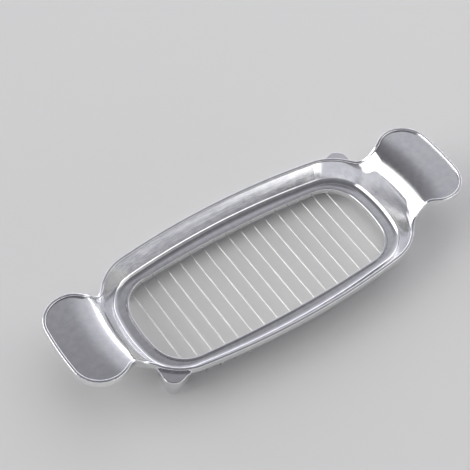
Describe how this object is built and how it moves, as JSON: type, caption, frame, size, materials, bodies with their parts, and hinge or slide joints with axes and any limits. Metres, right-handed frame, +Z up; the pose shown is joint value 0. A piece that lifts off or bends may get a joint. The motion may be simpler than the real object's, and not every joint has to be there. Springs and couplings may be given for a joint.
{
  "type": "wire butter slicer",
  "caption": "Cast dish-shaped frame with two wing handles, two splayed feet and a row of taut wires, pressed down over a stick of butter to cut it into pats.",
  "frame": {"origin": "in the plane of the two soles and the keeper rails, under the middle of the opening", "axes": "+X the long way, from handle to handle; +Y across, along the wires; +Z up, away from the soles"},
  "size_m": [0.1926, 0.0692, 0.0238],
  "materials": {
    "cast_aluminium": "polished on top, satin underneath",
    "wire_steel": "bright drawn stainless wire",
    "stop_steel": "satin, crimped"
  },
  "bodies": {
    "root": {"frame": "cast_aluminium", "wire_01": "wire_steel", "wire_02": "wire_steel", "wire_03": "wire_steel", "wire_04": "wire_steel", "wire_05": "wire_steel", "wire_06": "wire_steel", "wire_07": "wire_steel", "wire_08": "wire_steel", "wire_09": "wire_steel", "wire_10": "wire_steel", "wire_11": "wire_steel", "wire_12": "wire_steel", "wire_13": "wire_steel", "wire_14": "wire_steel", "wire_15": "wire_steel", "wire_16": "wire_steel", "wire_17": "wire_steel", "front_wire_stops": "stop_steel", "rear_wire_stops": "stop_steel"}
  },
  "joints": []
}
